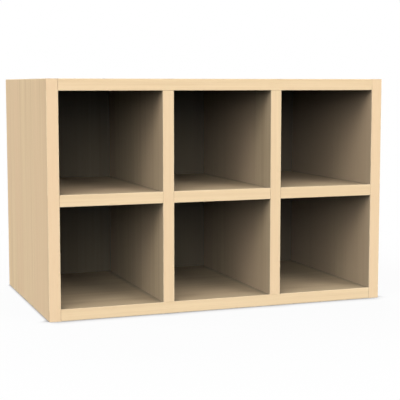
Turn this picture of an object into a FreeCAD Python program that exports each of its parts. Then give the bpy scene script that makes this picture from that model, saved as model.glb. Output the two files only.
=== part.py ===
"""Hanging wardrobe shelf: an open box of three columns and two rows in laminated chipboard.

The origin lies under the middle of the box, on its lowest plane. X runs along the front to the
right, Y to the wall and Z up. The sides run the full height and carry the top and the bottom
between them: a cam lock between two wooden dowels draws each corner tight. Two dividers stand
in stopped housings of the top and the bottom, and a short shelf lies in each column, in stopped
housings of the uprights beside it. The back panel is caught in a groove on all four sides.
Behind it two rails, dowelled between the sides, take the wall screws.
"""

import FreeCAD, Part

import os

import Sketcher
from FreeCAD import Placement, Rotation, Vector

SIZES = (
    ("width", 590, "outer width of the box"),
    ("height", 384, "outer height of the box"),
    ("depth", 348, "outer depth, from the front edges to the wall"),
    ("board", 19, "thickness of every laminated board"),
    ("back_board", 6, "thickness of the back panel"),
    ("rail_width", 80, "height of each hanging rail"),
    ("band", 1, "thickness of the edge bands"),
    ("arris", 0.6, "bevel along the outer edges of a band"),
    ("housing_depth", 4, "depth of the housings of the dividers and the shelves"),
    ("housing_stop", 12, "from the front plane to the front end of the housings"),
    ("housing_play", 0.1, "play of a board in its housing, on each face and at the end"),
    ("groove_depth", 7, "depth of the groove that holds the back panel"),
    ("back_play", 0.15, "play of the back panel in its groove, on each side"),
    ("front_inset", 50, "from the front plane to the front row of fittings"),
    ("rear_inset", 60, "from the back panel to the rear row of fittings"),
    ("wall_hole_spacing", 406.4, "across the wall screws, one stud spacing"),
    ("wall_hole_radius", 2.75, "clearance hole for a wall screw"),
    ("dowel_radius", 4, "wooden dowel"),
    ("dowel_length", 30, "wooden dowel, end to end"),
    ("dowel_in_face", 11, "how far a dowel sits in the face of a board"),
    ("fit", 0.1, "clearance round dowels, screws and cams in their holes"),
    ("end_play", 0.5, "space left past the end of what sits in a blind hole"),
    ("cam_radius", 7.4, "cam lock"),
    ("cam_setback", 24, "from the end of a board to the axis of its cams"),
    ("cam_recess", 0.2, "how far a cam lies below the face of its board"),
    ("cam_floor", 0.8, "wall under the chamber of a cam"),
    ("chamber_radius", 5.1, "chamber of a cam, about its own off-centre axis"),
    ("eccentricity", 0.8, "from the axis of a cam to the axis of its chamber"),
    ("chamber_play", 0.3, "space round the head of a bolt in the chamber"),
    ("slot_play", 0.2, "space above and below the neck of a bolt in its slot"),
    ("slot_lead", 30, "angle in degrees by which the slot passes the bolt"),
    ("slot_turn", 180, "turn of the cam in degrees that draws the bolt in"),
    ("recess_length", 7, "cross recess of a cam, tip to tip"),
    ("recess_width", 1.4, "cross recess of a cam, across one arm"),
    ("recess_depth", 3, "cross recess of a cam"),
    ("bolt_bore_radius", 4, "bore from the end of a board to its cam"),
    ("screw_radius", 2.4, "screwed end of a cam bolt"),
    ("screw_length", 10.5, "screwed end of a cam bolt"),
    ("neck_radius", 1.6, "neck of a cam bolt"),
    ("head_radius", 3, "head of a cam bolt"),
    ("head_taper", 1.5, "length of the taper under the head of a cam bolt"),
    ("head_land", 1.5, "length of the cylindrical part of that head"),
)

doc = FreeCAD.newDocument("hanging_wardrobe_shelf")
sheet = doc.addObject("Spreadsheet::Sheet", "dims")
for row, (name, value, meaning) in enumerate(SIZES, 1):
    sheet.set(f"A{row}", name)
    sheet.set(f"B{row}", str(value))
    sheet.set(f"C{row}", meaning)
    sheet.setAlias(f"B{row}", name)
doc.recompute()

# Planes and rows that several boards share, as expressions on the sheet
front_plane = "(-dims.depth / 2)"
wall_plane = "(dims.depth / 2)"
front_edge = f"({front_plane} + dims.band)"
inner_half = "(dims.width / 2 - dims.board)"
inner_top = "(dims.height - dims.board)"
middle_height = "(dims.height / 2)"
inner_half_height = f"({middle_height} - dims.board)"
opening = f"((2 * {inner_half} - 2 * dims.board) / 3)"
column_pitch = f"({opening} + dims.board)"
divider_x = f"({column_pitch} / 2)"
rail_front = f"({wall_plane} - dims.board)"
back_front = f"({rail_front} - dims.back_board)"
front_row = f"({front_plane} + dims.front_inset)"
rear_row = f"({back_front} - dims.rear_inset)"
middle_row = f"(({front_row} + {rear_row}) / 2)"
rail_row = f"({wall_plane} - dims.board / 2)"
lower_rail_height = "(dims.board + dims.rail_width / 2)"
upper_rail_height = f"(dims.height - {lower_rail_height})"
rail_dowel_rise = "(dims.rail_width / 4)"
wall_hole_x = "(dims.wall_hole_spacing / 2)"
board_ends = ("dims.board / 2", "dims.height - dims.board / 2")
rail_dowel_heights = [
    f"{rail} + {step} * {rail_dowel_rise}"
    for rail in (lower_rail_height, upper_rail_height)
    for step in (-1, 1)
]
dowel_hole = "(dims.dowel_radius + dims.fit)"
dowel_end_hole = "(dims.dowel_length - dims.dowel_in_face + dims.end_play)"
housing_start = f"({front_plane} + dims.housing_stop)"
housing_half = "(dims.board / 2 + dims.housing_play)"
tongue = "(dims.housing_depth - dims.housing_play)"
chamber_half = "(dims.head_radius + dims.chamber_play)"
cam_depth = f"(dims.board / 2 + {chamber_half} + dims.cam_floor)"


def place(thing, x="0", y="0", z="0"):
    """Bind the place of a body or a copy."""
    for axis, value in (("x", x), ("y", y), ("z", z)):
        thing.setExpression(f"Placement.Base.{axis}", value)


def new_body(label, x="0", y="0", z="0"):
    """An empty body whose axes run along those of the whole shelf."""
    body = doc.addObject("PartDesign::Body", label)
    body.Label = label
    place(body, x, y, z)
    return body


def origin_plane(body, role):
    return next(plane for plane in body.Origin.OriginFeatures if plane.Role == role)


def new_sketch(body, name, role, offset="0"):
    """A sketch on an origin plane of its body, moved along the normal of that plane."""
    sketch = body.newObject("Sketcher::SketchObject", name)
    sketch.AttachmentSupport = [(origin_plane(body, role), "")]
    sketch.MapMode = "FlatFace"
    sketch.setExpression("AttachmentOffset.Base.z", offset)
    return sketch


def fix_point(sketch, geometry, point, x, y):
    """Bind both coordinates of a point of the sketch."""
    for kind, value in (("DistanceX", x), ("DistanceY", y)):
        measured = float(sketch.evalExpression(value))
        rule = sketch.addConstraint(Sketcher.Constraint(kind, -1, 1, geometry, point, measured))
        sketch.setExpression(f"Constraints[{rule}]", value)


def outline(body, name, role, points, offset="0"):
    """A sketch with one closed outline of straight lines."""
    sketch = new_sketch(body, name, role, offset)
    corners = [Vector(*(float(sketch.evalExpression(value)) for value in point)) for point in points]
    for start, end in zip(corners, corners[1:] + corners[:1]):
        sketch.addGeometry(Part.LineSegment(start, end))
    for line, point in enumerate(points):
        before = (line - 1) % len(points)
        sketch.addConstraint(Sketcher.Constraint("Coincident", before, 2, line, 1))
        fix_point(sketch, line, 1, *point)
    return sketch


def rectangle(body, name, role, low, high, offset="0"):
    """A sketch with a rectangle from its low corner to its high one."""
    points = (low, (high[0], low[1]), high, (low[0], high[1]))
    return outline(body, name, role, points, offset)


def circles(body, name, role, centres, radius, offset="0"):
    """A sketch with equal circles."""
    sketch = new_sketch(body, name, role, offset)
    size = float(sketch.evalExpression(radius))
    for x, y in centres:
        centre = Vector(float(sketch.evalExpression(x)), float(sketch.evalExpression(y)))
        circle = sketch.addGeometry(Part.Circle(centre, Vector(0, 0, 1), size))
        fix_point(sketch, circle, 3, x, y)
        rule = sketch.addConstraint(Sketcher.Constraint("Radius", circle, size))
        sketch.setExpression(f"Constraints[{rule}]", radius)
    return sketch


def pad(body, name, profile, length, midplane=False, reverse=False):
    """Material along the normal of the sketch, against it or on both sides alike."""
    feature = body.newObject("PartDesign::Pad", name)
    feature.Profile = profile
    feature.setExpression("Length", length)
    feature.Midplane = midplane
    feature.Reversed = reverse
    doc.recompute()
    return feature


def must_remove(body, feature, before):
    """Stop the build if a cut left its body as it was."""
    doc.recompute()
    if not feature.Shape.Volume < before:
        raise RuntimeError(f"{body.Label}: {feature.Name} removes nothing")


def pocket(body, name, profile, depth, along_normal):
    """A cut from the sketch into the board, along the normal of the sketch or against it."""
    before = body.Tip.Shape.Volume
    feature = body.newObject("PartDesign::Pocket", name)
    feature.Profile = profile
    feature.setExpression("Length", depth)
    feature.Reversed = along_normal
    must_remove(body, feature, before)
    return feature


def mirror(body, name, features, role):
    """The same features on the other side of an origin plane."""
    before = body.Tip.Shape.Volume
    feature = body.newObject("PartDesign::Mirrored", name)
    feature.Originals = features
    feature.MirrorPlane = (origin_plane(body, role), [""])
    body.Tip = feature
    must_remove(body, feature, before)


def side_panel(label, hand):
    """An upright side, with hand -1 on the left and 1 on the right, drilled on its inner face."""
    left = hand < 0
    body = new_body(label, x="-dims.width / 2" if left else inner_half)
    inner_face = "dims.board" if left else "0"
    low = (front_edge, "dims.band")
    high = (wall_plane, "dims.height - dims.band")
    pad(body, "board", rectangle(body, "board_outline", "YZ_Plane", low, high), "dims.board")
    low = (f"{back_front} - dims.back_play", "dims.board - dims.groove_depth")
    high = (f"{rail_front} + dims.back_play", f"{inner_top} + dims.groove_depth")
    groove = rectangle(body, "groove_outline", "YZ_Plane", low, high, inner_face)
    pocket(body, "back_groove", groove, "dims.groove_depth", along_normal=not left)
    low = (f"{housing_start} - dims.housing_play", f"{middle_height} - {housing_half}")
    high = (back_front, f"{middle_height} + {housing_half}")
    housing = rectangle(body, "housing_outline", "YZ_Plane", low, high, inner_face)
    pocket(body, "shelf_housing", housing, "dims.housing_depth", along_normal=not left)
    pilots = [(middle_row, end) for end in board_ends]
    holes = circles(body, "pilots", "YZ_Plane", pilots, "dims.screw_radius + dims.fit", inner_face)
    pocket(body, "bolt_pilots", holes, "dims.screw_length + dims.end_play", along_normal=not left)
    seats = [(row, end) for row in (front_row, rear_row) for end in board_ends]
    seats += [(rail_row, rise) for rise in rail_dowel_heights]
    holes = circles(body, "dowel_seats", "YZ_Plane", seats, dowel_hole, inner_face)
    pocket(body, "dowel_holes", holes, "dims.dowel_in_face + dims.end_play", along_normal=not left)
    return body


def level_panel(label, top):
    """The top or the bottom, between the sides, with its cams on the face that looks down."""
    body = new_body(label, z=inner_top if top else "0")
    inner_face = "0" if top else "dims.board"
    low = (f"-{inner_half}", front_edge)
    high = (inner_half, wall_plane)
    pad(body, "board", rectangle(body, "board_outline", "XY_Plane", low, high), "dims.board")
    centre = [(f"{inner_half} - dims.cam_setback", middle_row)]
    holes = circles(body, "cam", "XY_Plane", centre, "dims.cam_radius + dims.fit")
    cam_bore = pocket(body, "cam_bore", holes, f"{cam_depth} + dims.cam_recess", along_normal=True)
    centre = [(middle_row, "dims.board / 2")]
    holes = circles(body, "bolt", "YZ_Plane", centre, "dims.bolt_bore_radius", inner_half)
    bolt_bore = pocket(body, "bolt_bore", holes, "dims.cam_setback", along_normal=False)
    centres = [(row, "dims.board / 2") for row in (front_row, rear_row)]
    holes = circles(body, "end_dowels", "YZ_Plane", centres, dowel_hole, inner_half)
    end_holes = pocket(body, "end_holes", holes, dowel_end_hole, along_normal=False)
    mirror(body, "other_end", [cam_bore, bolt_bore, end_holes], "YZ_Plane")
    low = (f"-{inner_half}", f"{back_front} - dims.back_play")
    high = (inner_half, f"{rail_front} + dims.back_play")
    groove = rectangle(body, "groove_outline", "XY_Plane", low, high, inner_face)
    pocket(body, "back_groove", groove, "dims.groove_depth", along_normal=top)
    low = (f"{divider_x} - {housing_half}", f"{housing_start} - dims.housing_play")
    high = (f"{divider_x} + {housing_half}", back_front)
    housing = rectangle(body, "housing_outline", "XY_Plane", low, high, inner_face)
    right_housing = pocket(body, "right_housing", housing, "dims.housing_depth", along_normal=top)
    mirror(body, "left_housing", [right_housing], "YZ_Plane")
    return body


def tongued(half_length):
    """Outline of a board whose ends, but for the part near the front, go into housings.

    The first of each pair of coordinates runs along the board, the second from front to back.
    """
    half_tongued = f"({half_length} + {tongue})"
    right = [
        (half_length, front_edge),
        (half_length, housing_start),
        (half_tongued, housing_start),
        (half_tongued, back_front),
    ]
    return right + [(f"-{along}", across) for along, across in reversed(right)]


def divider(label, hand):
    """An upright between top and bottom, with a housing for a shelf in each face."""
    body = new_body(label, x=f"{hand} * {divider_x}", z=middle_height)
    points = [(across, along) for along, across in tongued(inner_half_height)]
    profile = outline(body, "board_outline", "YZ_Plane", points)
    pad(body, "board", profile, "dims.board", midplane=True)
    low = (f"{housing_start} - dims.housing_play", f"-{housing_half}")
    high = (back_front, housing_half)
    housing = rectangle(body, "housing_outline", "YZ_Plane", low, high, "dims.board / 2")
    right_housing = pocket(body, "right_housing", housing, "dims.housing_depth", along_normal=False)
    mirror(body, "left_housing", [right_housing], "YZ_Plane")
    return body


def shelf(label, column):
    """A short shelf at half height in the column -1, 0 or 1."""
    body = new_body(label, x=f"{column} * {column_pitch}", z=middle_height)
    profile = outline(body, "board_outline", "XY_Plane", tongued(f"({opening} / 2)"))
    pad(body, "board", profile, "dims.board", midplane=True)
    return body


def hanging_rail(label, level):
    """A rail behind the back panel, dowelled between the sides, with a wall hole near each end."""
    body = new_body(label, y=rail_row, z=level)
    low = (f"-{inner_half}", "-dims.rail_width / 2")
    high = (inner_half, "dims.rail_width / 2")
    profile = rectangle(body, "board_outline", "XZ_Plane", low, high)
    pad(body, "board", profile, "dims.board", midplane=True)
    centres = [("0", f"{step} * {rail_dowel_rise}") for step in (-1, 1)]
    holes = circles(body, "end_dowels", "YZ_Plane", centres, dowel_hole, inner_half)
    end_holes = pocket(body, "end_holes", holes, dowel_end_hole, along_normal=False)
    mirror(body, "other_end", [end_holes], "YZ_Plane")
    centres = [(f"{hand} * {wall_hole_x}", "0") for hand in (-1, 1)]
    holes = circles(body, "screws", "XZ_Plane", centres, "dims.wall_hole_radius", "dims.board / 2")
    pocket(body, "wall_holes", holes, "dims.board", along_normal=False)
    return body


def back_panel():
    """The thin back, as large as the grooves hold, with the same four wall holes as the rails."""
    body = new_body("back_panel", y=f"{rail_front} - dims.back_board / 2", z=middle_height)
    half_width = f"({inner_half} + dims.groove_depth - dims.back_play)"
    half_height = f"({inner_half_height} + dims.groove_depth - dims.back_play)"
    low = (f"-{half_width}", f"-{half_height}")
    profile = rectangle(body, "board_outline", "XZ_Plane", low, (half_width, half_height))
    pad(body, "board", profile, "dims.back_board", midplane=True)
    rise = f"({middle_height} - {lower_rail_height})"
    centres = [(f"{hand} * {wall_hole_x}", f"{step} * {rise}") for hand in (-1, 1) for step in (-1, 1)]
    face = "dims.back_board / 2"
    holes = circles(body, "screws", "XZ_Plane", centres, "dims.wall_hole_radius", face)
    pocket(body, "wall_holes", holes, "dims.back_board", along_normal=False)
    return body


def bevel_long_edges(body, strip, outward):
    """Bevel the two long edges of the face of a band that looks outward."""
    face = max(strip.Shape.Faces, key=lambda face: face.CenterOfMass.dot(outward))
    long_edges = sorted(face.Edges, key=lambda edge: edge.Length)[-2:]
    names = [
        f"Edge{number}"
        for number, edge in enumerate(strip.Shape.Edges, 1)
        if any(edge.isSame(long_edge) for long_edge in long_edges)
    ]
    bevel = body.newObject("PartDesign::Chamfer", "arrises")
    bevel.Base = (strip, names)
    bevel.setExpression("Size", "dims.arris")
    doc.recompute()


def front_band(label, size_x, size_z, x="0", z="0"):
    """The band on the front edge of a board, flush with all the others."""
    body = new_body(label, x=x, y=front_plane, z=z)
    low = (f"-{size_x} / 2", f"-{size_z} / 2")
    high = (f"{size_x} / 2", f"{size_z} / 2")
    profile = rectangle(body, "band_outline", "XZ_Plane", low, high)
    strip = pad(body, "strip", profile, "dims.band", reverse=True)
    bevel_long_edges(body, strip, Vector(0, -1, 0))
    return body


def end_band(label, hand, top):
    """The band on the upper or lower end of a side."""
    level = "dims.height - dims.band" if top else "dims.band"
    body = new_body(label, x=f"{hand} * ({inner_half} + dims.board / 2)", z=level)
    low = ("-dims.board / 2", front_edge)
    high = ("dims.board / 2", wall_plane)
    profile = rectangle(body, "band_outline", "XY_Plane", low, high)
    strip = pad(body, "strip", profile, "dims.band", reverse=not top)
    bevel_long_edges(body, strip, Vector(0, 0, 1 if top else -1))
    return body


def cam_lock():
    """The pattern of the cam locks, turned tight.

    Its axis is Z, the face of its board is the plane z = 0 and the bolt comes in along X. The
    head of the bolt lies in a round chamber whose axis is off the centre, away from the bolt, so
    the wall that the head bears on gets thicker as the cam turns and draws the bolt in. The neck
    passes through a slot round half of the wall. The head went in through the mouth at its end.
    """
    body = new_body("cam_lock")
    disc = circles(body, "disc", "XY_Plane", [("0", "0")], "dims.cam_radius", "-dims.cam_recess")
    pad(body, "drum", disc, f"{cam_depth} - dims.cam_recess", reverse=True)
    axis = [("-dims.eccentricity", "0")]
    roof = f"{chamber_half} - dims.board / 2"
    room = circles(body, "room", "XY_Plane", axis, "dims.chamber_radius", roof)
    pocket(body, "chamber", room, f"2 * {chamber_half}", along_normal=False)

    before = body.Tip.Shape.Volume
    half = "(dims.neck_radius + dims.slot_play)"
    low = ("dims.chamber_radius - 2 * dims.eccentricity", f"-dims.board / 2 - {half}")
    high = ("dims.cam_radius + dims.chamber_play", f"{half} - dims.board / 2")
    section = rectangle(body, "slot_section", "XZ_Plane", low, high)
    section.AttachmentOffset = Placement(Vector(), Rotation(Vector(0, 1, 0), 1))
    section.setExpression("AttachmentOffset.Rotation.Angle", "-dims.slot_lead")
    slot = body.newObject("PartDesign::Groove", "neck_slot")
    slot.Profile = section
    slot.ReferenceAxis = (section, ["V_Axis"])
    slot.setExpression("Angle", "dims.slot_turn + dims.slot_lead")
    must_remove(body, slot, before)

    low = (f"-{chamber_half}", f"-dims.board / 2 - {chamber_half}")
    high = (chamber_half, f"{chamber_half} - dims.board / 2")
    opening_outline = rectangle(body, "mouth_outline", "YZ_Plane", low, high)
    pocket(body, "mouth", opening_outline, "dims.cam_radius", along_normal=False)
    for name, x, y in (("across", "length", "width"), ("along", "width", "length")):
        high = (f"dims.recess_{x} / 2", f"dims.recess_{y} / 2")
        low = tuple(f"-{value}" for value in high)
        arm = rectangle(body, f"arm_{name}", "XY_Plane", low, high, "-dims.cam_recess")
        pocket(body, f"recess_{name}", arm, "dims.recess_depth", along_normal=False)
    return body


def cam_bolt():
    """The pattern of the cam bolts: its axis is X, and x = 0 is the face that it screws into."""
    body = new_body("cam_bolt")
    wall = "(dims.cam_setback - dims.chamber_radius + dims.eccentricity)"
    neck_end = f"({wall} - dims.fit)"
    shoulder = f"({neck_end} + dims.head_taper)"
    tip = f"({shoulder} + dims.head_land)"
    points = (
        ("-dims.screw_length", "0"),
        ("-dims.screw_length", "dims.screw_radius"),
        ("0", "dims.screw_radius"),
        ("0", "dims.neck_radius"),
        (neck_end, "dims.neck_radius"),
        (shoulder, "dims.head_radius"),
        (tip, "dims.head_radius"),
        (tip, "0"),
    )
    profile = outline(body, "half_section", "XZ_Plane", points)
    turning = body.newObject("PartDesign::Revolution", "turning")
    turning.Profile = profile
    turning.ReferenceAxis = (profile, ["H_Axis"])
    turning.Angle = 360
    doc.recompute()
    return body


def fluted_dowel():
    """The pattern of the dowels, along Z from its end, with twelve flats in place of its flutes."""
    rod = doc.addObject("Part::Prism", "dowel")
    rod.Polygon = 12
    rod.setExpression("Circumradius", "dims.dowel_radius")
    rod.setExpression("Height", "dims.dowel_length")
    return rod


def copies(label, pattern, places, axis=Vector(0, 0, 1), angle=0):
    """Separate copies of a piece, all turned alike."""
    links = []
    for number, (x, y, z) in enumerate(places, 1):
        link = doc.addObject("App::Link", f"{label}_{number}")
        link.LinkedObject = pattern
        link.Placement = Placement(Vector(), Rotation(axis, angle))
        place(link, x, y, z)
        links.append(link)
    return links


def group(label, links):
    """Copies that share one name, each a solid of its own."""
    whole = doc.addObject("Part::Compound", label)
    whole.Label = label
    whole.Links = links
    return whole


def cam_locks(label, level):
    """The two cams of the top or the bottom, whose open faces look down."""
    cam_x = f"({inner_half} - dims.cam_setback)"
    links = copies(f"{label}_right", cam, [(cam_x, middle_row, level)], Vector(1, 0, 0), 180)
    links += copies(f"{label}_left", cam, [(f"-{cam_x}", middle_row, level)], Vector(0, 1, 0), 180)
    return group(label, links)


def cam_bolts(label, hand):
    """The two bolts of one side."""
    places = [(f"{hand} * {inner_half}", middle_row, z) for z in board_ends]
    return group(label, copies(label, bolt, places, angle=180 if hand > 0 else 0))


def side_dowels(label, places, hand):
    """Dowels that stand in the inner face of one side."""
    start = f"{hand} * ({inner_half} + dims.dowel_in_face)"
    places = [(start, y, z) for y, z in places]
    return group(label, copies(label, dowel, places, Vector(0, 1, 0), -90 * hand))


sides = (("left", -1), ("right", 1))
parts = []
for name, hand in sides:
    parts.append(side_panel(f"{name}_side_panel", hand))
    parts.append(front_band(f"{name}_side_front_band", "dims.board", "dims.height",
                            x=f"{hand} * ({inner_half} + dims.board / 2)", z=middle_height))
    parts.append(end_band(f"{name}_side_top_band", hand, top=True))
    parts.append(end_band(f"{name}_side_bottom_band", hand, top=False))
for name, top in (("top", True), ("bottom", False)):
    parts.append(level_panel(f"{name}_panel", top))
    level = "dims.height - dims.board / 2" if top else "dims.board / 2"
    parts.append(front_band(f"{name}_panel_front_band", f"2 * {inner_half}", "dims.board", z=level))
for name, hand in sides:
    parts.append(divider(f"{name}_divider", hand))
    parts.append(front_band(f"{name}_divider_front_band", "dims.board", f"2 * {inner_half_height}",
                            x=f"{hand} * {divider_x}", z=middle_height))
for name, column in (("left", -1), ("middle", 0), ("right", 1)):
    parts.append(shelf(f"{name}_shelf", column))
    parts.append(front_band(f"{name}_shelf_front_band", opening, "dims.board",
                            x=f"{column} * {column_pitch}", z=middle_height))
parts.append(back_panel())
parts.append(hanging_rail("upper_hanging_rail", upper_rail_height))
parts.append(hanging_rail("lower_hanging_rail", lower_rail_height))

cam = cam_lock()
bolt = cam_bolt()
dowel = fluted_dowel()
doc.recompute()
parts.append(cam_locks("top_cam_locks", inner_top))
parts.append(cam_locks("bottom_cam_locks", "0"))
for name, hand in sides:
    parts.append(cam_bolts(f"{name}_cam_bolts", hand))
    corners = [(row, end) for row in (front_row, rear_row) for end in board_ends]
    parts.append(side_dowels(f"{name}_corner_dowels", corners, hand))
    rail_ends = [(rail_row, rise) for rise in rail_dowel_heights]
    parts.append(side_dowels(f"{name}_rail_dowels", rail_ends, hand))
doc.recompute()

for thing in doc.Objects:
    if {"Invalid", "Error"} & set(thing.State):
        raise RuntimeError(f"{thing.Label}: {thing.State}")
for part in parts:
    if part.Shape.isNull() or not part.Shape.isValid():
        raise RuntimeError(f"{part.Label} has no valid shape")

os.makedirs("parts", exist_ok=True)
for part in parts:
    part.Shape.exportStep(f"parts/{part.Label}.step")
    print(f"{part.Label}: {len(part.Shape.Solids)} solids, {part.Shape.Volume / 1000:.2f} cm3")
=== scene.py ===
import math

import bpy
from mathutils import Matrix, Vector


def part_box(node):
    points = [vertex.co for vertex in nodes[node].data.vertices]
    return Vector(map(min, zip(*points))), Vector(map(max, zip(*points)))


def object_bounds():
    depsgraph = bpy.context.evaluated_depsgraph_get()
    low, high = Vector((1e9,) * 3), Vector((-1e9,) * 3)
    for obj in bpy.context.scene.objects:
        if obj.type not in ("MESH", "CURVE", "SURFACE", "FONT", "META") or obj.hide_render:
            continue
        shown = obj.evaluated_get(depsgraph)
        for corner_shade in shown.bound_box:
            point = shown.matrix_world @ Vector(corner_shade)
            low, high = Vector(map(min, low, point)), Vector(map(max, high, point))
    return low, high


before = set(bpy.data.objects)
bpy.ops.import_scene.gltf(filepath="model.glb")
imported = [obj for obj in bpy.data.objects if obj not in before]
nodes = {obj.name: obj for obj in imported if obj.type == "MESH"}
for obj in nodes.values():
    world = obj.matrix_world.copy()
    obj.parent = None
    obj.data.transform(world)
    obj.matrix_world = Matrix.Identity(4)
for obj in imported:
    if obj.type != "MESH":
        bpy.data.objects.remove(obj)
cad_low, cad_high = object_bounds()

# Colours in linear light. The tints are multiplied with the decor
MAPLE_LIGHT = (0.895, 0.695, 0.445)
MAPLE_DARK = (0.79, 0.588, 0.358)
MAPLE_ROSE = (0.87, 0.645, 0.415)
FIBRE_SHADE = (0.93, 0.88, 0.80)
CHIP_PALE = (0.60, 0.44, 0.26)
CHIP_DARK = (0.24, 0.145, 0.07)
GLUE_LINE = (0.20, 0.13, 0.075)
FIBREBOARD = (0.30, 0.185, 0.095)
# The back's tint: darkens and greys the maple decor as painted shade of the deep recess
BACK_SHADE_TINT = (0.348, 0.362, 0.371)
BAND_TINT = (1.0, 0.994, 0.972)
# The paler colour along the band's free arrises: partly rubbed wear, partly a painted highlight
BAND_WEAR_AND_HIGHLIGHT = (0.96, 0.78, 0.53)
# Painted shade in the creases where the level boards meet the uprights
CREASE_SHADE = (0.30, 0.24, 0.17)
SKY = (0.95, 1.0, 1.30)
ZINC = (0.47, 0.47, 0.46)
ZINC_DULL = (0.30, 0.30, 0.30)
STEEL = (0.60, 0.58, 0.52)
STEEL_WARM = (0.50, 0.47, 0.40)
BEECH = (0.62, 0.41, 0.24)
BEECH_FIBRE = (0.42, 0.25, 0.13)
BLACK = (0.0, 0.0, 0.0)
WHITE = (1.0, 1.0, 1.0)
FLOOR_GREY = (0.5, 0.5, 0.5)
CONTACT_SHADE = (0.25, 0.22, 0.20)

# Softboxes: azimuth and elevation in degrees, power in watts, colour
COOL = (0.78, 0.86, 1.0)
LAMPS = (
    ("side_softbox", -105, 22, 2970, WHITE),
    ("high_side_softbox", -65, 36, 1220, WHITE),
    ("high_left_softbox", -40, 36, 1000, WHITE),
    ("low_left_softbox", -40, 8, 520, WHITE),
    ("front_softbox", -15, 22, 690, WHITE),
    ("low_front_softbox", -15, 8, 830, COOL),
    ("right_softbox", 35, 7, 4940, WHITE),
    ("far_right_softbox", 60, 15, 1480, WHITE),
    ("rear_softbox", 165, 42, 1950, WHITE),
)
LAMP_DISTANCE = 24.0
LAMP_SIZE = 12.93
SKY_STRENGTH = 0.049

# Floor, in metres: its half width, where the shadow starts to fade and is gone, and how far the
# contact shade reaches before the box, beside it, and over what depth the one passes into the other
FLOOR_REACH = 12
SHADOW_FADE = 0.35
SHADOW_END = 0.9
SHADOW_SHARE = 0.06
CONTACT_BEFORE = 0.04
CONTACT_BESIDE = 0.008
CONTACT_PASSAGE = 0.02

# The photograph's camera: metres, degrees, and millimetres for the lens and the sensor
CAMERA_PLACE = (-0.653, -1.837, 0.374)
CAMERA_YAW = 20.21
CAMERA_PITCH = -6.07
CAMERA_LENS = 97.416
CAMERA_SENSOR = 36

# Boards: how the grain runs, the axis of the thickness, and the seed of the figure
GRAIN_AXES = {"across": 0, "depth": 1, "up": 2}
BOARDS = {
    "left_side_panel": ("up", 0, 85),
    "right_side_panel": ("up", 0, 125),
    "left_divider": ("up", 0, 87),
    "right_divider": ("up", 0, 88),
    "top_panel": ("across", 2, 89),
    "bottom_panel": ("across", 2, 90),
    "left_shelf": ("across", 2, 91),
    "middle_shelf": ("across", 2, 92),
    "right_shelf": ("across", 2, 93),
    "upper_hanging_rail": ("across", 1, 94),
    "lower_hanging_rail": ("across", 1, 95),
}
UPRIGHTS = ("left_side_panel", "left_divider", "right_divider", "right_side_panel")
LEVEL_BANDS = ("top_panel_front_band", "middle_shelf_front_band", "bottom_panel_front_band")
DIVIDER_BANDS = ("left_divider_front_band", "right_divider_front_band")
BACK_SEED = 11
FIRST_BAND_SEED = 137

# How strong the streaks of the decor are, next to those of the sides
SIDE_FIGURE = 1.0
BOARD_FIGURE = 0.7
BACK_FIGURE = 0.5
BAND_FIGURE = 0.25

# Thickness of the decor, and the depths between which fine chips give way to coarse ones
LAMINATE = 0.0004
FINE_DEPTH = 0.002
COARSE_DEPTH = 0.005

# Widths, and how much they tell: of the glue line behind a band, of the rubbed strip along it,
# which is partly a painted highlight, of the painted shade in the crease along an upright, and of
# the painted shade in the corner of the back beside it
GLUE_WIDTH = 0.0003
GLUE_SHARE = 0.6
WEAR_AND_HIGHLIGHT_WIDTH = 0.0016
WEAR_AND_HIGHLIGHT_SHARE = 0.7
CREASE_SHADE_WIDTH = 0.014
CREASE_SHADE_SHARE = 0.4
CORNER_SHADE_WIDTH = 0.04
CORNER_SHADE_SHARE = 0.2

# Relief of the boards in metres, and the fibres' share of it
RELIEF = 0.0005
FIBRE_RELIEF = 0.06

# Roughness of the surfaces, and what fibres and wear add to it
CORE_ROUGHNESS = 0.85
BOARD_ROUGHNESS = 0.6
BAND_ROUGHNESS = 0.5
RAW_ROUGHNESS = 0.9
BACK_ROUGHNESS = 0.48
BEECH_ROUGHNESS = 0.6
FIBRE_ROUGHNESS = 0.12
WEAR_ROUGHNESS = 0.3


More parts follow.
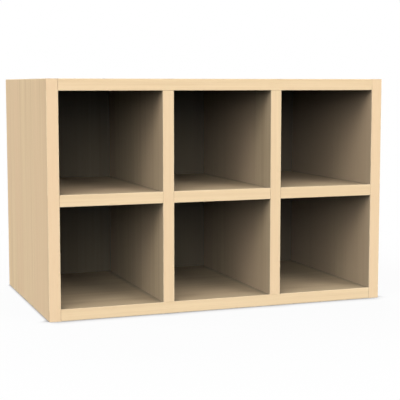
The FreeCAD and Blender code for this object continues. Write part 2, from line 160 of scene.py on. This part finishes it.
class Surface:
    """A material that is put together node by node."""

    def __init__(self, name):
        self.material = bpy.data.materials.new(name)
        self.material.use_nodes = True
        self.tree = self.material.node_tree
        self.tree.nodes.clear()

    def add(self, kind, inputs=None, **settings):
        """A node with its settings, and its inputs as values or as outputs of other nodes."""
        node = self.tree.nodes.new("ShaderNode" + kind)
        for name, value in settings.items():
            setattr(node, name, value)
        for socket, value in (inputs or {}).items():
            if isinstance(value, bpy.types.NodeSocket):
                self.tree.links.new(value, node.inputs[socket])
            else:
                node.inputs[socket].default_value = value
        return node

    def place(self):
        return self.add("TexCoord").outputs["Object"]

    def scaled(self, vector, scale, shift=(0, 0, 0)):
        inputs = {0: vector, 1: scale, 2: shift}
        return self.add("VectorMath", inputs, operation="MULTIPLY_ADD").outputs[0]

    def axis(self, number):
        """One coordinate of the place: 0 across, 1 from front to back, 2 up."""
        return self.add("SeparateXYZ", {0: self.place()}).outputs[number]

    def noise(self, vector, detail=2.0, roughness=0.5):
        inputs = {"Vector": vector, "Scale": 1.0, "Detail": detail, "Roughness": roughness}
        return self.add("TexNoise", inputs).outputs["Fac"]

    def math(self, operation, *values, clamp=False):
        inputs = dict(enumerate(values))
        return self.add("Math", inputs, operation=operation, use_clamp=clamp).outputs[0]

    def span(self, value, low, high, start=0.0, end=1.0):
        """The value's course from low to high as a smooth course from start to end."""
        inputs = {"Value": value, "From Min": low, "From Max": high, "To Min": start, "To Max": end}
        return self.add("MapRange", inputs, interpolation_type="SMOOTHSTEP").outputs[0]

    def blend(self, factor, first, second):
        """A mix of two numbers."""
        return self.add("Mix", {0: factor, 2: first, 3: second}).outputs[0]

    def mix(self, factor, first, second, how="MIX"):
        """A mix of two colours."""
        inputs = {0: factor, 6: colour(first), 7: colour(second)}
        return self.add("Mix", inputs, data_type="RGBA", blend_type=how).outputs[2]

    def bump(self, height, distance):
        return self.add("Bump", {"Height": height, "Distance": distance}).outputs["Normal"]

    def finish(self, **inputs):
        """Close the material with a principled shader."""
        named = {name.replace("_", " "): value for name, value in inputs.items()}
        shader = self.add("BsdfPrincipled", named)
        self.add("OutputMaterial", {"Surface": shader.outputs[0]})
        return self.material


def colour(value):
    """A linear colour with its alpha, or an output as it is."""
    return value if isinstance(value, bpy.types.NodeSocket) else (*value, 1.0)


def along_grain(grain, across, along):
    """Texture scales per metre, coarse along the grain and fine across it."""
    scale = [across] * 3
    scale[GRAIN_AXES[grain]] = along
    return tuple(scale)


def maple(surface, grain, seed, figure):
    """Maple decor: its colour, and the fine fibres that its roughness and relief follow.

    The figure is the depth of the streaks, 1 for wide faces and less on a narrow edge.
    """
    place = surface.place()
    shift = tuple(seed * step for step in (7.31, 3.77, 5.19))
    drift = surface.noise(surface.scaled(place, along_grain(grain, 9, 0.8), shift))
    streaks = surface.noise(surface.scaled(place, along_grain(grain, 75, 1.8), shift), 4.0, 0.6)
    veins = surface.noise(surface.scaled(place, along_grain(grain, 52, 1.3), shift[::-1]), 1.0, 0.5)
    flow = surface.noise(surface.scaled(place, along_grain(grain, 6, 1.1), shift), 1.0)
    rings = surface.noise(surface.scaled(place, along_grain(grain, 260, 3.5), shift), 2.0, 0.5)
    fibres = surface.noise(surface.scaled(place, along_grain(grain, 1500, 26), shift), 3.0, 0.65)
    flecks = surface.noise(surface.scaled(place, along_grain(grain, 620, 48), shift), 1.0)

    tone = surface.math("MULTIPLY", surface.math("SUBTRACT", streaks, 0.5), 2.6 * figure)
    fine = surface.math("MULTIPLY", surface.math("SUBTRACT", rings, 0.5), 1.5)
    broad = surface.math("MULTIPLY", surface.math("SUBTRACT", drift, 0.5), 0.9 * figure)
    tone = surface.math("ADD", surface.math("ADD", tone, fine), broad)
    tone = surface.math("ADD", tone, surface.span(veins, 0.52, 0.66, 0.0, 0.7 * figure))
    shade = surface.mix(surface.math("ADD", tone, 0.4, clamp=True), MAPLE_LIGHT, MAPLE_DARK)
    rose = surface.span(surface.math("ADD", flow, surface.math("MULTIPLY", drift, 0.5)), 0.6, 0.95)
    shade = surface.mix(rose, shade, MAPLE_ROSE)
    line = surface.span(fibres, 0.42, 0.72, 0.0, 0.35)
    shade = surface.mix(line, shade, surface.mix(1.0, shade, FIBRE_SHADE, "MULTIPLY"))
    fleck = surface.span(flecks, 0.68, 0.78, 0.0, 0.5)
    shade = surface.mix(fleck, shade, surface.mix(1.0, shade, FIBRE_SHADE, "MULTIPLY"))
    return shade, fibres


def edge_distance(surface, name, axis):
    """How far inside a node's box a point lies, from the nearer of its two sides on one axis."""
    low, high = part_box(name)
    middle = (low[axis] + high[axis]) / 2
    off = surface.math("ABSOLUTE", surface.math("SUBTRACT", surface.axis(axis), middle))
    return surface.math("SUBTRACT", (high[axis] - low[axis]) / 2, off)


def chips(surface, across, along, thin_axis):
    """Pressed chips of one size: a shade from pale to dark, and the hollows between them."""
    scale = [along] * 3
    scale[thin_axis] = across
    place = surface.scaled(surface.place(), tuple(scale))
    cells = surface.add("TexVoronoi", {"Vector": place, "Scale": 1.0})
    tone = surface.add("SeparateColor", {"Color": cells.outputs["Color"]}).outputs[0]
    return surface.math("POWER", tone, 1.7), cells.outputs["Distance"]


def chipboard(surface, depth, thin_axis):
    """The raw core: coarse chips in the middle of the board and fine ones towards its faces."""
    coarse, coarse_hollows = chips(surface, 800, 300, thin_axis)
    fine, fine_hollows = chips(surface, 2300, 1100, thin_axis)
    skin = surface.span(depth, FINE_DEPTH, COARSE_DEPTH, 1.0, 0.0)
    tone = surface.blend(skin, coarse, fine)
    hollows = surface.blend(skin, coarse_hollows, fine_hollows)
    pores = surface.noise(surface.scaled(surface.place(), (1400, 1400, 1400)), 3.0, 0.7)
    shade = surface.mix(tone, CHIP_PALE, CHIP_DARK)
    shade = surface.mix(surface.span(pores, 0.6, 0.75), shade, CHIP_DARK)
    return shade, surface.math("ADD", hollows, pores)


def nearness(surface, width):
    """How near a point lies to an upright, from 0 at the given width to 1 where the upright is."""
    near = 0.0
    for upright in UPRIGHTS:
        beside = surface.span(edge_distance(surface, upright, 0), -width, 0.0)
        near = surface.math("MAXIMUM", near, beside)
    return near


def crease_shade_mask(surface, name):
    """Painted shade on the upper face of a level board in the crease along each upright, from none
    to full, broken up by noise.
    """
    low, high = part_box(name)
    upper = surface.math("GREATER_THAN", surface.axis(2), (low.z + high.z) / 2)
    in_crease = surface.math("MULTIPLY", nearness(surface, CREASE_SHADE_WIDTH), upper)
    patches = surface.noise(surface.scaled(surface.place(), (90, 90, 90)), 3.0, 0.6)
    return surface.math("MULTIPLY", in_crease, surface.span(patches, 0.3, 0.6, 0.6, 1.0))


def laminated(name, grain, seed, thin_axis):
    """Laminated chipboard: decor on both faces, the core on what is cut across."""
    surface = Surface(name)
    figure = SIDE_FIGURE if "side" in name else BOARD_FIGURE
    decor, fibres = maple(surface, grain, seed, figure)
    depth = edge_distance(surface, name, thin_axis)
    core, pores = chipboard(surface, depth, thin_axis)
    face = surface.math("LESS_THAN", depth, LAMINATE)
    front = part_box(name)[0].y
    glued = surface.span(surface.axis(1), front, front + GLUE_WIDTH, GLUE_SHARE, 0.0)
    glued = surface.math("MULTIPLY", glued, face)
    shade = surface.mix(glued, surface.mix(face, core, decor), GLUE_LINE)
    # Painted shade darkens the upper face in the crease along each upright
    if "shelf" in name or name == "bottom_panel":
        crease_shaded = surface.math("MULTIPLY", crease_shade_mask(surface, name), CREASE_SHADE_SHARE)
        shade = surface.mix(crease_shaded, shade, CREASE_SHADE)
    height = surface.blend(face, pores, surface.math("MULTIPLY", fibres, FIBRE_RELIEF))
    rough = surface.math("MULTIPLY", fibres, FIBRE_ROUGHNESS)
    rough = surface.math("ADD", rough, surface.blend(face, CORE_ROUGHNESS, BOARD_ROUGHNESS))
    return surface.finish(Base_Color=shade, Roughness=rough, Normal=surface.bump(height, RELIEF),
                          Specular_IOR_Level=0.03)


def banded(name, grain, seed, crossings):
    """The edge band: the same decor, a little smoother, and paler along its free arrises, partly
    rubbed wear and partly a painted highlight.

    The crossings are the bands that may butt against its long edges.
    """
    surface = Surface(name)
    decor, fibres = maple(surface, grain, seed, BAND_FIGURE)
    decor = surface.mix(1.0, decor, BAND_TINT, "MULTIPLY")
    # A paler strip along the free arrises: partly rubbed wear, partly a painted highlight
    strip_noise = surface.noise(surface.scaled(surface.place(), (300, 300, 300)), 3.0, 0.7)
    edge = edge_distance(surface, name, 2 if grain == "across" else 0)
    edge = surface.math("ADD", edge, surface.math("MULTIPLY", strip_noise, WEAR_AND_HIGHLIGHT_WIDTH))
    wear_and_highlight = surface.span(edge, WEAR_AND_HIGHLIGHT_WIDTH * 0.5, WEAR_AND_HIGHLIGHT_WIDTH * 1.2, WEAR_AND_HIGHLIGHT_SHARE, 0.0)
    for other in crossings:
        clear = surface.math("LESS_THAN", edge_distance(surface, other, GRAIN_AXES[grain]), 0.0)
        wear_and_highlight = surface.math("MULTIPLY", wear_and_highlight, clear)
    rough = surface.math("ADD", surface.math("MULTIPLY", fibres, FIBRE_ROUGHNESS), BAND_ROUGHNESS)
    rough = surface.math("ADD", rough, surface.math("MULTIPLY", wear_and_highlight, WEAR_ROUGHNESS))
    height = surface.math("MULTIPLY", fibres, FIBRE_RELIEF)
    return surface.finish(Base_Color=surface.mix(wear_and_highlight, decor, BAND_WEAR_AND_HIGHLIGHT), Roughness=rough,
                          Normal=surface.bump(height, RELIEF), Specular_IOR_Level=0.05)


def thin_back():
    """Fibreboard with a darker, greyer copy of the decor on its front face as painted shade of the
    recess, and raw brown fibres behind.
    """
    surface = Surface("back_board")
    decor, fibres = maple(surface, "up", BACK_SEED, BACK_FIGURE)
    # Painted shade: the decor is darkened and greyed for the recess
    decor = surface.mix(1.0, decor, BACK_SHADE_TINT, "MULTIPLY")
    # Painted shade: the back's decor darkens towards each upright, into the corners
    corner_shade = surface.math("MULTIPLY", nearness(surface, CORNER_SHADE_WIDTH), CORNER_SHADE_SHARE)
    decor = surface.mix(corner_shade, decor, BLACK)
    wool = surface.noise(surface.scaled(surface.place(), (900, 900, 900)), 4.0, 0.7)
    raw = surface.mix(surface.span(wool, 0.3, 0.7, 0.75, 1.0), BLACK, FIBREBOARD)
    face = surface.math("LESS_THAN", surface.axis(1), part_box("back_panel")[0].y + LAMINATE)
    height = surface.math("MULTIPLY", surface.blend(face, wool, fibres), 0.1)
    rough = surface.blend(face, RAW_ROUGHNESS, BACK_ROUGHNESS)
    return surface.finish(Base_Color=surface.mix(face, raw, decor), Roughness=rough,
                          Normal=surface.bump(height, RELIEF), Specular_IOR_Level=0.1)


def cast_zinc():
    """Die-cast cams: a fine sandy skin with dull clouds."""
    surface = Surface("zinc")
    place = surface.place()
    grain = surface.noise(surface.scaled(place, (2200, 2200, 2200)), 3.0, 0.6)
    cloud = surface.noise(surface.scaled(place, (260, 260, 260)), 2.0)
    shade = surface.mix(surface.span(cloud, 0.3, 0.7, 0.0, 0.35), ZINC, ZINC_DULL)
    rough = surface.math("ADD", surface.math("MULTIPLY", grain, 0.2), 0.34)
    return surface.finish(Base_Color=shade, Roughness=rough, Metallic=1.0,
                          Normal=surface.bump(grain, 0.00008))


def plated_steel():
    """Cam bolts, with the fine rings of the lathe along them."""
    surface = Surface("steel")
    turned = surface.noise(surface.scaled(surface.place(), (2600, 200, 200)), 2.0)
    rough = surface.math("ADD", surface.math("MULTIPLY", turned, 0.15), 0.22)
    shade = surface.mix(turned, STEEL, STEEL_WARM)
    return surface.finish(Base_Color=shade, Roughness=rough, Metallic=1.0,
                          Normal=surface.bump(turned, 0.00005))


def beech():
    """Dowels, with their fibres along them."""
    surface = Surface("dowel_wood")
    place = surface.place()
    fibres = surface.noise(surface.scaled(place, (60, 1800, 1800)), 3.0, 0.6)
    shade = surface.mix(surface.span(fibres, 0.4, 0.7, 0.0, 0.6), BEECH, BEECH_FIBRE)
    return surface.finish(Base_Color=shade, Roughness=BEECH_ROUGHNESS,
                          Normal=surface.bump(fibres, 0.0002))


def dress():
    """Give every node its material."""
    made = {"back_panel": thin_back()}
    for name, (grain, thin_axis, seed) in BOARDS.items():
        made[name] = laminated(name, grain, seed, thin_axis)
    bands = sorted(name for name in nodes if name.endswith("_band"))
    for seed, name in enumerate(bands, FIRST_BAND_SEED):
        if "side_front" in name or "divider" in name:
            made[name] = banded(name, "up", seed, LEVEL_BANDS)
        elif "front" in name:
            made[name] = banded(name, "across", seed, DIVIDER_BANDS)
        else:
            made[name] = banded(name, "depth", seed, ())
    zinc, steel, wood = cast_zinc(), plated_steel(), beech()
    for name in nodes:
        if "cam_locks" in name:
            made[name] = zinc
        elif "cam_bolts" in name:
            made[name] = steel
        elif "dowels" in name:
            made[name] = wood
    for name, material in made.items():
        for slot in nodes[name].material_slots:
            slot.material = material


def show_white(surface_tree, plain, white):
    """The white shader for what the camera, gloss and glass see, the plain one for the rest."""
    path = surface_tree.nodes.new("ShaderNodeLightPath")
    seen = path.outputs["Is Camera Ray"]
    for name in ("Is Glossy Ray", "Is Transmission Ray"):
        larger = surface_tree.nodes.new("ShaderNodeMath")
        larger.operation = "MAXIMUM"
        surface_tree.links.new(seen, larger.inputs[0])
        surface_tree.links.new(path.outputs[name], larger.inputs[1])
        seen = larger.outputs[0]
    pick = surface_tree.nodes.new("ShaderNodeMixShader")
    surface_tree.links.new(seen, pick.inputs[0])
    surface_tree.links.new(plain, pick.inputs[1])
    surface_tree.links.new(white, pick.inputs[2])
    return pick.outputs[0]


def make_world():
    """A weak sky that lights the box, and a white backdrop behind it."""
    world = bpy.data.worlds.new("studio")
    bpy.context.scene.world = world
    world.use_nodes = True
    tree = world.node_tree
    tree.nodes.clear()
    light = tree.nodes.new("ShaderNodeBackground")
    light.inputs["Color"].default_value = colour(SKY)
    light.inputs["Strength"].default_value = SKY_STRENGTH
    backdrop = tree.nodes.new("ShaderNodeBackground")
    backdrop.inputs["Color"].default_value = colour(WHITE)
    output = tree.nodes.new("ShaderNodeOutputWorld")
    shown = show_white(tree, light.outputs[0], backdrop.outputs[0])
    tree.links.new(shown, output.inputs["Surface"])


def make_floor():
    """A pale floor: white to the camera, with the shadow of the box fading out around it."""
    mesh = bpy.data.meshes.new("floor")
    corners = ((-1, -1), (1, -1), (1, 1), (-1, 1))
    corners = [(x * FLOOR_REACH, y * FLOOR_REACH, cad_low.z) for x, y in corners]
    mesh.from_pydata(corners, [], [(0, 1, 2, 3)])
    floor = bpy.data.objects.new("floor", mesh)
    bpy.context.scene.collection.objects.link(floor)
    surface = Surface("floor")
    plain = surface.add("BsdfDiffuse", {"Color": colour(FLOOR_GREY)})
    away = surface.add("VectorMath", {0: surface.place()}, operation="LENGTH").outputs["Value"]
    near = surface.span(away, SHADOW_FADE, SHADOW_END, SHADOW_SHARE, 0.0)
    reach = surface.span(surface.axis(1), cad_low.y, cad_low.y + CONTACT_PASSAGE,
                         CONTACT_BEFORE, CONTACT_BESIDE)
    contact = surface.add("AmbientOcclusion", {"Distance": reach}).outputs["AO"]
    contact = surface.span(contact, 0.3, 0.9)
    lit = surface.add("BsdfDiffuse", {"Color": colour(WHITE)})
    glow = surface.add("Emission", {"Color": colour(WHITE), "Strength": 1.0})
    white = surface.add("MixShader", {0: near, 1: glow.outputs[0], 2: lit.outputs[0]})
    dark = surface.add("Emission", {"Color": colour(CONTACT_SHADE), "Strength": 1.0})
    white = surface.add("MixShader", {0: contact, 1: dark.outputs[0], 2: white.outputs[0]})
    shown = show_white(surface.tree, plain.outputs[0], white.outputs[0])
    surface.add("OutputMaterial", {"Surface": shown})
    mesh.materials.append(surface.material)


def make_camera():
    """The photograph's camera, from the straight edges of the box in it."""
    camera = bpy.data.objects.new("camera", bpy.data.cameras.new("camera"))
    camera.location = CAMERA_PLACE
    camera.rotation_euler = (math.radians(90 + CAMERA_PITCH), 0, math.radians(-CAMERA_YAW))
    camera.data.sensor_width = CAMERA_SENSOR
    camera.data.lens = CAMERA_LENS
    bpy.context.scene.collection.objects.link(camera)
    bpy.context.scene.camera = camera


def softbox(name, azimuth, elevation, power, tint):
    """A square area lamp that faces the middle of the box."""
    centre = (cad_low + cad_high) / 2
    turn, rise = math.radians(azimuth), math.radians(elevation)
    level = math.cos(rise)
    away = Vector((math.sin(turn) * level, -math.cos(turn) * level, math.sin(rise)))
    light = bpy.data.lights.new(name, "AREA")
    light.size = LAMP_SIZE
    light.energy = power
    light.color = tint
    lamp = bpy.data.objects.new(name, light)
    lamp.location = centre + away * LAMP_DISTANCE
    lamp.rotation_euler = (-away).to_track_quat("-Z", "Y").to_euler()
    bpy.context.scene.collection.objects.link(lamp)


dress()
make_floor()
make_camera()
make_world()
for lamp in LAMPS:
    softbox(*lamp)
# The compartments in the photo show no light from their own walls
bpy.context.scene.cycles.diffuse_bounces = 0
bpy.context.scene.view_settings.view_transform = "Standard"
